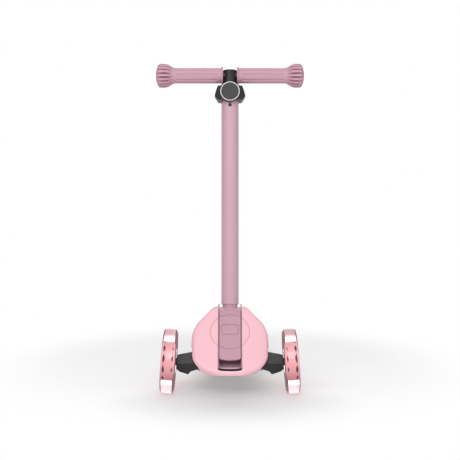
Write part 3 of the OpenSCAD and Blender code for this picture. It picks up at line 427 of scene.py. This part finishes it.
black_nylon = skin(
    "black_glass_filled_nylon", "#262526", 0.42, grain=0.5, depth=0.05, drift=0.12, rough_drift=0.1
)
nylon = skin("natural_nylon", "#D9D9D2", 0.5, grain=0.5, depth=0.01)
spring_rubber = skin("spring_rubber", "#2B2A2B", 0.6, grain=0.4, depth=0.03)
for node in ("left_knuckle", "right_knuckle", "axle_carrier", "tie_rod"):
    paint(black_nylon, node)
    soften(node, 0.7)
paint(nylon, "left_bushes", "right_bushes")
for node in ("kingpins", "left_rod_pin", "right_rod_pin"):
    paint(bolt_steel, node)
    soften(node, 0.4)
for side, way in (("left", -1), ("right", 1)):
    spring = side + "_centring_spring"
    lo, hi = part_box(spring)
    middle, length = (lo + hi) / 2, (hi.x - lo.x) / mm
    profile = [(0, 0), (0, boot_end_r)]
    for k in range(boot_ribs * rib_points + 1):
        rib = math.cos(2 * math.pi * k / rib_points)
        profile.append((length * k / (boot_ribs * rib_points), boot_r - boot_rib * rib))
    profile += [(length, boot_end_r), (length, 0)]
    bm = turned(profile, 40, closed=False)
    bmesh.ops.translate(bm, vec=(lo.x, middle.y, middle.z), verts=bm.verts)
    boot = piece(side + "_spring_boot", bm, spring_rubber, "deck", [spring])
    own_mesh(boot)

# -------------------------------------------------------------- the front hood
# One moulded pink shell over the steering gear: a crowned sloping face with rolled
# edges and a ring moulded in it, slotted for the folding bracket and open below for
# the arms. Both skirts are screwed to the deck's shoulders.
hood_slope, lip_y, lip_z = 50.0, -0.2655, 0.0435
crown_r, hood_wall, roll_r = 420.0, 3.0, 9.0
hood_half, chin, face_middle, face_top, face_edge = 72, 50, 75, 151, -60
face_place = Matrix.Translation((0, lip_y, lip_z)) @ Matrix.Rotation(math.radians(hood_slope), 4, "X")
shoulder_line = [(72, 72), (71.6, 85), (70.5, 95), (66.8, 106), (60.8, 117)]
shoulder_line += [(51, 128), (41.3, 138.6), (34.5, 146), (28, 150.5)]


def smooth_through(points, steps=5):
    """Points of a smooth curve through the given ones."""
    out = []
    for i in range(len(points) - 1):
        p0 = points[max(i - 1, 0)]
        p1, p2 = points[i], points[i + 1]
        p3 = points[min(i + 2, len(points) - 1)]
        for k in range(steps):
            t = k / steps
            point = []
            for a, b, c, d in zip(p0, p1, p2, p3):
                bend, twist = 2 * a - 5 * b + 4 * c - d, 3 * b - a - 3 * c + d
                point.append(0.5 * (2 * b + (c - a) * t + bend * t * t + twist * t**3))
            out.append(tuple(point))
    return out + [points[-1]]


def hood_outline(inset):
    """Loop round the hood's face, right side up and left side down, moved inward by inset."""
    turns = [math.radians(a) for a in range(3, 91, 3)]
    lower = [(hood_half * math.sin(a), chin - chin * math.cos(a)) for a in turns]
    right = lower + smooth_through(shoulder_line)
    loop = [(0, 0)] + right + [(0, face_top)] + [(-x, v) for x, v in reversed(right)]
    moved = []
    for i, (x, v) in enumerate(loop):
        ax, av = loop[i - 1]
        bx, bv = loop[(i + 1) % len(loop)]
        size = math.hypot(bx - ax, bv - av)
        moved.append((x - inset * (bv - av) / size, v + inset * (bx - ax) / size))
    return moved


def crown(x):
    """Drop of the crowned face at x."""
    return math.sqrt(crown_r**2 - x * x) - crown_r


def hood_solid(inset, roll, depth=180.0):
    """Closed solid of the hood's outer form, inset on every side."""
    bm = bmesh.new()
    rings = []
    flat = hood_outline(inset + roll)
    for share in (0.25, 0.5, 0.7, 0.85, 0.95, 1.0):
        ring = [(x * share, face_middle + (v - face_middle) * share) for x, v in flat]
        rings.append([(x, v, crown(x) - inset) for x, v in ring])
    for k in range(1, 7):
        a = math.radians(15 * k)
        ring = hood_outline(inset + roll * (1 - math.sin(a)))
        rings.append([(x, v, crown(x) - inset - roll * (1 - math.cos(a))) for x, v in ring])
    edge = hood_outline(inset)
    rings.append([(x, v, face_edge) for x, v in edge])
    rings.append([(x, v, -depth) for x, v in edge])
    loops = [[bm.verts.new((x * mm, v * mm, z * mm)) for x, v, z in ring] for ring in rings]
    hub = bm.verts.new((0, face_middle * mm, -inset * mm))
    count = len(edge)
    for i in range(count):
        j = (i + 1) % count
        bm.faces.new((hub, loops[0][i], loops[0][j]))
        for a, b in zip(loops, loops[1:]):
            bm.faces.new((a[i], b[i], b[j], a[j]))
    bm.faces.new(loops[-1])
    bmesh.ops.transform(bm, matrix=face_place, verts=bm.verts)
    bmesh.ops.recalc_face_normals(bm, faces=bm.faces)
    return bm


def loose(bm):
    """Scratch object for a boolean cut."""
    bmesh.ops.recalc_face_normals(bm, faces=bm.faces)
    me = bpy.data.meshes.new("cutter")
    bm.to_mesh(me)
    bm.free()
    ob = bpy.data.objects.new("cutter", me)
    bpy.context.scene.collection.objects.link(ob)
    return ob


def prism(points, x0, x1):
    """Solid of an outline in (Y, Z), drawn along X, all in millimetres."""
    bm = bmesh.new()
    near = [bm.verts.new((x0 * mm, y * mm, z * mm)) for y, z in points]
    far = [bm.verts.new((x1 * mm, y * mm, z * mm)) for y, z in points]
    bm.faces.new(near)
    bm.faces.new(far)
    for i in range(len(points)):
        j = (i + 1) % len(points)
        bm.faces.new((near[i], near[j], far[j], far[i]))
    return bm


def block(x0, x1, y0, y1, z0, z1, place=None):
    """Box between two corners, in millimetres, set at a place of its own if one is given."""
    bm = prism([(y0, z0), (y1, z0), (y1, z1), (y0, z1)], x0, x1)
    if place:
        bmesh.ops.transform(bm, matrix=place, verts=bm.verts)
    return bm


def carve(ob, cuts):
    """Applies boolean cuts in turn and drops the cutters."""
    for way, cutter in cuts:
        mod = ob.modifiers.new("cut", "BOOLEAN")
        mod.operation = way
        mod.solver = "MANIFOLD"
        mod.object = cutter
    bpy.context.view_layer.update()
    seen = ob.evaluated_get(bpy.context.evaluated_depsgraph_get())
    bm = bmesh.new()
    bm.from_mesh(seen.to_mesh())
    seen.to_mesh_clear()
    for used in [ob] + [c for _, c in cuts]:
        data = used.data
        bpy.data.objects.remove(used)
        bpy.data.meshes.remove(data)
    bmesh.ops.remove_doubles(bm, verts=bm.verts, dist=2e-6)
    bmesh.ops.dissolve_degenerate(bm, edges=bm.edges, dist=1e-6)
    return bm


axle_y = -217.5
front_y, back_y = axle_y - 80, axle_y + 113.3
slope_y, slope_z, crest_z = 48, 60, 177
opening_top, opening_end, lip_half, lip_depth, side_lip_depth = 85.2, 34, 58, 13, 9.6
skirt_foot, deck_half, deck_start, deck_top = 42, 58.4, 32, 64
slot_half, slot_v, slot_rise, slot_span, slot_up = 22.4, 9, 1.78, 21.15, 320


def side_view(wall, floor_z):
    """Outline of the hood seen from the side, with its back moved in by the wall."""
    back = back_y - wall
    rear = [(back, floor_z), (back, slope_z), (back - slope_y, crest_z)]
    return [(front_y, floor_z)] + rear + [(front_y, crest_z)]


# the cutters run well clear of the hood on the sides that they don't shape
hollow = carve(
    loose(hood_solid(hood_wall, roll_r - hood_wall, 200.0)),
    [("INTERSECT", loose(prism(side_view(hood_wall, 20), -90, 90)))],
)
under = carve(
    loose(block(-100, 100, axle_y - 120, axle_y + opening_end, 0, opening_top)),
    [
        ("DIFFERENCE", loose(block(-lip_half, lip_half, -20, 200, -lip_depth, 60, face_place))),
        ("DIFFERENCE", loose(block(-101, 101, -20, 200, -side_lip_depth, 60, face_place))),
    ],
)
slot_foot = [(x, slot_v + slot_rise * (x / slot_span) ** 2) for x in range(0, 19, 3)]
slot_foot += [(20.2, 11.1), (21.5, 12.4), (22.2, 13.8), (slot_half, 15.5)]
slot_edge = [(-x, v) for x, v in reversed(slot_foot[1:])] + slot_foot
slot_edge += [(slot_half, slot_up), (-slot_half, slot_up)]
slot_cut = prism(slot_edge, -60, 40)
upright = face_place @ Matrix(((0, 1, 0, 0), (0, 0, 1, 0), (1, 0, 0, 0), (0, 0, 0, 1)))
bmesh.ops.transform(slot_cut, matrix=upright, verts=slot_cut.verts)
hood = carve(
    loose(hood_solid(0, roll_r)),
    [
        ("INTERSECT", loose(prism(side_view(0, 30), -90, 90))),
        ("DIFFERENCE", loose(hollow)),
        ("DIFFERENCE", loose(under)),
        ("DIFFERENCE", loose(block(-100, 100, axle_y - 120, axle_y + 200, 0, skirt_foot))),
        ("DIFFERENCE", loose(block(-deck_half, deck_half, axle_y + deck_start, axle_y + 140, -1, deck_top))),
        ("DIFFERENCE", loose(slot_cut)),
    ],
)
ring_v, ring_r, panel_up, panel_half, panel_rise, panel_corner = 92, 36.5, 4.5, 11.5, 6.2, 4.2
line_core, line_edge, marks_back = 0.3, 1.3, -180


def face_marks():
    """Lines moulded in the sloping face: a wide ring and, inside it, a round-cornered panel."""
    tree, come, go = group("face_marks", [], [("Line", "NodeSocketFloat")])
    flat = tree.nodes.new("ShaderNodeMapping")
    flat.vector_type = "TEXTURE"
    flat.inputs["Location"].default_value = face_place @ Vector((0, ring_v * mm, 0))
    flat.inputs["Rotation"].default_value = (math.radians(hood_slope), 0, 0)
    tree.links.new(own_place(tree), flat.inputs["Vector"])
    level = vector_calc(tree, "MULTIPLY", flat.outputs[0], (1, 1, 0))
    corner = vector_calc(tree, "ABSOLUTE", vector_calc(tree, "SUBTRACT", level, (0, panel_up * mm, 0)))
    past = vector_calc(tree, "SUBTRACT", corner, (panel_half * mm, panel_rise * mm, 0))
    beyond = vector_calc(tree, "MAXIMUM", past, (0, 0, 0))
    lines = []
    for source, radius in ((level, ring_r), (beyond, panel_corner)):
        off = calc(tree, "SUBTRACT", vector_calc(tree, "LENGTH", source), radius * mm)
        wide = calc(tree, "ABSOLUTE", off)
        lines.append(ramp(tree, wide, line_core * mm, line_edge * mm, 1, 0, smooth=True))
    tree.links.new(calc(tree, "MAXIMUM", *lines), go.inputs["Line"])
    return tree


MARKS = face_marks()


def coordinates(tree, place):
    """X, Y and Z of a place."""
    node = tree.nodes.new("ShaderNodeSeparateXYZ")
    tree.links.new(place, node.inputs[0])
    return node.outputs


def mark_face(material, depth, shade):
    """Sinks the face's lines into a skin by depth millimetres and paints shade into them, darkening them to
    the shade colour, ahead of marks_back.
    """
    tree = material.node_tree
    n, l = tree.nodes, tree.links
    marks = n.new("ShaderNodeGroup")
    marks.node_tree = MARKS
    front = calc(tree, "LESS_THAN", coordinates(tree, own_place(tree))["Y"], marks_back * mm)
    line = calc(tree, "MULTIPLY", marks.outputs["Line"], front)
    dent = n.new("ShaderNodeBump")
    dent.invert = True
    dent.inputs["Strength"].default_value = 1
    dent.inputs["Distance"].default_value = depth * mm
    l.new(line, dent.inputs["Height"])
    l.new(n["Bump"].outputs["Normal"], dent.inputs["Normal"])
    l.new(dent.outputs["Normal"], n["Principled BSDF"].inputs["Normal"])
    dark = mixed(tree, line, n["Group"].outputs["Colour"], srgb(shade), "MULTIPLY")
    l.new(dark, n["Principled BSDF"].inputs["Base Color"])


hood_pink = skin("pink_moulded_shell", "#F8C2CD", 0.36, 0.35, 0.006, drift=0.03, rough_drift=0.05)
hood_face = skin("pink_hood_face", "#F8C2CD", 0.36, 0.35, 0.006, drift=0.03, rough_drift=0.05)
# the ring's and panel's lines are darkened: painted shade in the grooves
mark_face(hood_face, 0.5, "#F0D8DC")
piece("front_hood_shell", hood, hood_face, "deck", ["front_hood"], bevel=0.8, angle=38)
for node in ("hood_screws", "bracket_bolts"):
    paint(bolt_steel, node)
    soften(node, 0.4)

# --------------------------------------------------- folding bracket and pedal
# Painted steel bracket: two cheeks on a base, bolted down to the carrier. The
# mauve foot plate between them turns on a pin and has its return spring round it.
cheek_x, dish_back, dish_z, dish_top_z = 12.6, -200, 56.2, 58.5
mauve_paint = skin("mauve_satin_paint", "#CBA1B0", 0.38, 0.5, 0.008, drift=0.03)
# the pedal's mauve is a slightly darker copy of the bracket's paint: painted shade for the pedal sunk in its
# slot
pedal_shaded_copy = skin("mauve_pedal_paint", "#C49AA8", 0.38, 0.5, 0.008, drift=0.03)
# the pedal's lines get the same painted shade
mark_face(pedal_shaded_copy, 0.5, "#EADCE0")
paint(mauve_paint, "fold_bracket", "column_foot")
paint(pedal_shaded_copy, "release_pedal")
paint(bolt_steel, "fold_pin", "pedal_pin", "pedal_spring")
bracket = frame["nodes"]["fold_bracket"].data
# the two darker mauves added below are painted shade for the recess under the pedal and the gaps beside it
bracket.materials.append(skin("mauve_painted_shade", "#967781", 0.55, 0.5, 0.01, drift=0.05))
bracket.materials.append(skin("mauve_painted_deep_shade", "#6B4852", 0.6, 0.5, 0.01, drift=0.05))
for face in bracket.polygons:
    # painted shade: the dish under the pedal and the cheeks' front edges take darker mauve, deepest high in
    # the dish under the pedal
    at = face.center / mm
    in_dish = abs(at.x) < cheek_x and at.y < dish_back
    if in_dish and at.z > dish_top_z:
        face.material_index = 2
    elif in_dish and at.z > dish_z:
        face.material_index = 1
    elif abs(at.x) > cheek_x and face.normal.y < -0.5 and face.normal.z > 0.3:
        face.material_index = 1
soften("fold_bracket", 0.5)
soften("release_pedal", 1.6)
soften("column_foot", 0.5)

# ------------------------------------------------------------------ the column
# Mauve aluminium tube on a fluted foot, slit at the top so that the clamp can
# close it on the stem. The slit ends in a drilled hole that stops it tearing.
paint(mauve_paint, "column_tube")
paint(black_nylon, "column_bush")

# ------------------------------------------------------------------- the clamp
# Moulded black collar with two bolted wings, a round cap in front with a pale
# ring let into it, and a cam lever behind that pulls it tight.
ring_grey = skin("pale_ring_plastic", "#E6E4E2", 0.3, grain=0.4, depth=0.004)
paint(black_nylon, "clamp_collar", "clamp_lever", "badge_cap")
paint(bolt_steel, "clamp_pin")
paint(ring_grey, "badge_ring")
for node, width in (("clamp_collar", 0.9), ("clamp_lever", 1.2), ("badge_ring", 0.3), ("badge_cap", 0.6)):
    soften(node, width)

# --------------------------------------------------------------- the handlebar
# Black painted T: a stem that slides in the column and a crossbar through it,
# with a plug in its top and a nylon glide at its foot.
black_paint = skin("black_satin_paint", "#1E1E20", 0.34, grain=0.4, depth=0.01, drift=0.08, rough_drift=0.08)
paint(black_paint, "stem_tube", "crossbar", "stem_cap")
paint(nylon, "stem_glide")
soften("stem_tube", 0.3)
soften("stem_cap", 0.4)

# -------------------------------------------------------------------- the grips
# Soft mauve rubber, moulded as one sleeve: a thin flange inside, eight lengthwise
# grooves with round ends, and a deeply slotted knob at the end of the bar.
grip_start, grip_end, grip_r, flange_r = 13.6, 143.5, 14.75, 17.5
groove_from, groove_to, groove_wide, groove_deep, groove_turn = 26.7, 102.3, 2.2, 1.5, 6
knob_r, knob_l, knob_full, knob_swell, knob_round = 23.0, 37.0, 0.55, 1.6, 0.74
slot_count, slot_wide, slot_floor, slot_from, slot_to = 18, 2.4, 15.6, 0.13, 0.93
long_step, fine_step = 4.0, 0.8
bar_middle = (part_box("crossbar")[0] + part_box("crossbar")[1]) / 2
grip_rubber = skin("mauve_grip_rubber", "#C99CAB", 0.55, grain=0.5, depth=0.002, drift=0.01, rough_drift=0.03)


def step_between(a, b, t):
    """Eases from 0 to 1 while t goes from a to b."""
    s = min(max((t - a) / (b - a), 0), 1)
    return s * s * (3 - 2 * s)


def grip_radius(x, turn):
    """Radius of the grip at x along the bar, at an angle turn from the front, in degrees."""
    s = (x - (grip_end - knob_l)) / knob_l
    if s > 0:
        r = grip_r + (knob_r - grip_r) * math.sin(min(s / knob_full, 1) * math.pi / 2) ** knob_swell
        r -= knob_r * 2 / 3 * (max(s - knob_round, 0) / (1 - knob_round)) ** 3
        off = (turn % (360 / slot_count)) - 180 / slot_count
        belly = 0.25 + math.sin(math.pi * min(max((s - slot_from) / (slot_to - slot_from), 0), 1))
        across = abs(math.radians(off)) * r / (slot_wide / 2 * belly)
        ends = step_between(slot_from, slot_from + 0.07, s) * (1 - step_between(slot_to - 0.03, slot_to, s))
        return r - max(r - slot_floor, 0) * (1 - step_between(0.75, 1.2, across)) * ends
    off = (turn - groove_turn + 22.5) % 45 - 22.5
    past = max(groove_from - x, x - groove_to, 0)
    reach = math.hypot(math.radians(off) * grip_r, past) / groove_wide
    return grip_r - groove_deep * (1 - step_between(0.35, 1.05, reach))


def grip_mesh(way, steps=432):
    """Sleeve from its inner flange to the closed end of its knob, as rings along the bar."""
    bm = bmesh.new()
    flange = [(0, 9.6), (0, flange_r - 0.5), (0.35, flange_r), (2.2, flange_r), (2.7, flange_r - 0.5)]
    stations = [(grip_start + x, r) for x, r in flange + [(2.9, grip_r + 0.15), (4, grip_r)]]
    x = grip_start + 6
    while x <= grip_end - 2.5:
        stations.append((x, None))
        x += long_step if groove_from + 1 < x < groove_to - 5 else fine_step
    stations += [(grip_end - 1.2, None), (grip_end - 0.4, None), (grip_end, 7.0), (grip_end, 4.0)]
    rings = []
    for x, fixed in stations:
        ring = []
        for k in range(steps):
            turn = 360 * k / steps
            r = fixed or grip_radius(x, turn)
            a = math.radians(turn)
            ring.append(bm.verts.new((way * x * mm, -r * mm * math.cos(a), r * mm * math.sin(a))))
        rings.append(ring)
    end = bm.verts.new((way * grip_end * mm, 0, 0))
    for k in range(steps):
        j = (k + 1) % steps
        for a, b in zip(rings, rings[1:]):
            bm.faces.new((a[k], b[k], b[j], a[j]))
        bm.faces.new((rings[-1][k], end, rings[-1][j]))
    bmesh.ops.translate(bm, vec=bar_middle, verts=bm.verts)
    return bm


for side, way in (("left", -1), ("right", 1)):
    grip = grip_mesh(way)
    piece(side + "_rubber_grip", grip, grip_rubber, "handlebar", [side + "_grip"], angle=50)

# -------------------------------------------------------------------- the deck
# Pink moulded deck with a ribbed black tray screwed in below and a rubber mat on
# top. Its tail splits into two arms that hold the rear wheel's bolt.
mat_rubber = skin("mauve_mat_rubber", "#BC95A1", 0.75, grain=0.5, depth=0.08, drift=0.06, rough_drift=0.12)
paint(hood_pink, "deck_shell")
paint(black_nylon, "deck_tray")
paint(mat_rubber, "grip_mat")
paint(bolt_steel, "deck_screws")
soften("deck_shell", 1.2)
for node in ("deck_tray", "grip_mat", "deck_screws"):
    soften(node, 0.5)

# -------------------------------------------------------------- the foot brake
# Sprung pink fender over the rear wheel, hinged on a pin at the deck's end; a
# pad under it rubs the tyre when it is trodden down.
paint(hood_pink, "brake_fender")
paint(black_nylon, "brake_pad")
paint(bolt_steel, "brake_pin", "brake_spring")
soften("brake_fender", 0.9)

# -------------------------------------------------------------------- the stage
# White studio with four soft lamps. The floor's glow carries a painted shadow, a soft grey pool round the
# front wheels,
# and only rays through the clear tyres meet a band of floor and sky that glows brighter than white, low down
# behind:
# painted highlights that draw pale crescents in the tyres.
floor_half, stage_grey, white = 12, (0.8, 0.8, 0.8, 1), (1, 1, 1, 1)
pool_y, pool_back, pool_reach, floor_glow, white_from, white_to = -0.3, 1.6, 0.24, 0.29, 0.3, 0.54
band_from, band_to, band_low, band_high = -0.115, -0.095, -0.06, 1.1
sky_level, low_sky_from, low_sky_to, low_sky_glow = 0.47, 0.37, 0.41, 0.9
floor_mesh = bmesh.new()
bmesh.ops.create_grid(floor_mesh, x_segments=1, y_segments=1, size=floor_half)
floor_data = bpy.data.meshes.new("studio_floor")
floor_mesh.to_mesh(floor_data)
floor_mesh.free()
floor = bpy.data.objects.new("studio_floor", floor_data)
bpy.context.scene.collection.objects.link(floor)
floor.location.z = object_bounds()[0].z


floor_paint = bpy.data.materials.new("pale_floor")
floor_paint.use_nodes = True
tree = floor_paint.node_tree
matt = tree.nodes["Principled BSDF"]
matt.inputs["Base Color"].default_value = stage_grey
matt.inputs["Roughness"].default_value = 1.0
matt.inputs["Specular IOR Level"].default_value = 0.0
path = tree.nodes.new("ShaderNodeLightPath").outputs
spot = own_place(tree)
place = coordinates(tree, spot)
seen = calc(tree, "MAXIMUM", path["Is Camera Ray"], path["Is Transmission Ray"])
seen = calc(tree, "MAXIMUM", seen, path["Is Glossy Ray"])
# painted highlight: the floor behind the front wheels glows up to 1.1 more, for rays through the tyres only,
# drawing pale crescents in them
behind = ramp(tree, place["Y"], band_from, band_to, band_low, band_high)
through = calc(tree, "MULTIPLY", path["Is Transmission Ray"], behind)
# painted shadow: the floor's glow fades out in a soft pool round the front wheels, stretched behind, so the
# floor there looks darker
ahead = calc(tree, "SUBTRACT", place["Y"], pool_y)
offset = tree.nodes.new("ShaderNodeCombineXYZ")
stretched = calc(tree, "MAXIMUM", calc(tree, "MULTIPLY", ahead, pool_back), calc(tree, "MULTIPLY", ahead, -1))
tree.links.new(place["X"], offset.inputs["X"])
tree.links.new(stretched, offset.inputs["Y"])
painted_shadow_pool = ramp(tree, vector_calc(tree, "LENGTH", offset.outputs[0]), 0.0, pool_reach, 0.0, floor_glow)
near = tree.nodes.new("ShaderNodeEmission")
tree.links.new(calc(tree, "MULTIPLY_ADD", seen, painted_shadow_pool, through), near.inputs["Strength"])
lit = tree.nodes.new("ShaderNodeAddShader")
tree.links.new(matt.outputs[0], lit.inputs[0])
tree.links.new(near.outputs[0], lit.inputs[1])
far = tree.nodes.new("ShaderNodeEmission")
far.inputs["Strength"].default_value = 1.0
away = ramp(tree, vector_calc(tree, "LENGTH", spot), white_from, white_to, smooth=True)
blended(tree, calc(tree, "MULTIPLY", seen, away), lit.outputs[0], far.outputs[0], "Material Output")
floor_data.materials.append(floor_paint)

world = bpy.data.worlds.new("studio")
bpy.context.scene.world = world
world.use_nodes = True
tree = world.node_tree
sky = tree.nodes["Background"]
sky.inputs["Color"].default_value = white
sky.inputs["Strength"].default_value = sky_level
backdrop = tree.nodes.new("ShaderNodeBackground")
backdrop.inputs["Color"].default_value = white
path = tree.nodes.new("ShaderNodeLightPath").outputs
height = coordinates(tree, tree.nodes.new("ShaderNodeTexCoord").outputs["Generated"])["Z"]
# painted highlight: the low sky glows 0.9 brighter, for rays through the tyres only
painted_glint_sky = ramp(tree, height, low_sky_from, low_sky_to, low_sky_glow, 0.0)
level = calc(tree, "MULTIPLY_ADD", path["Is Transmission Ray"], painted_glint_sky, 1.0)
tree.links.new(level, backdrop.inputs["Strength"])
seen = calc(tree, "MAXIMUM", path["Is Camera Ray"], path["Is Transmission Ray"])
blended(tree, seen, sky.outputs[0], backdrop.outputs[0], "World Output")


def soft_lamp(name, place, size, watts):
    """Square lamp that faces the middle of the scooter."""
    lamp = bpy.data.lights.new(name, "AREA")
    lamp.energy = watts
    lamp.shape = "SQUARE"
    lamp.size = size
    ob = bpy.data.objects.new(name, lamp)
    bpy.context.scene.collection.objects.link(ob)
    ob.location = place
    aim = Vector((0, 0, 0.3)) - Vector(place)
    ob.rotation_euler = aim.to_track_quat("-Z", "Y").to_euler()


soft_lamp("front_left_lamp", (-1.3, -1.8, 1.6), 1.2, 14.5)
soft_lamp("front_right_lamp", (1.6, -1.5, 1.2), 1.2, 8)
soft_lamp("front_lamp", (0, -2.4, 1.5), 1.2, 17)
soft_lamp("top_lamp", (0, 0.1, 2.2), 1.6, 3)

view = bpy.data.cameras.new("camera")
view.sensor_width = 36
view.lens = 84.15
camera = bpy.data.objects.new("camera", view)
bpy.context.scene.collection.objects.link(camera)
camera.location = (0, -2.1886, 0.4775)
camera.rotation_euler = (math.radians(85), 0, 0)
bpy.context.scene.camera = camera
bpy.context.scene.view_settings.view_transform = "Standard"
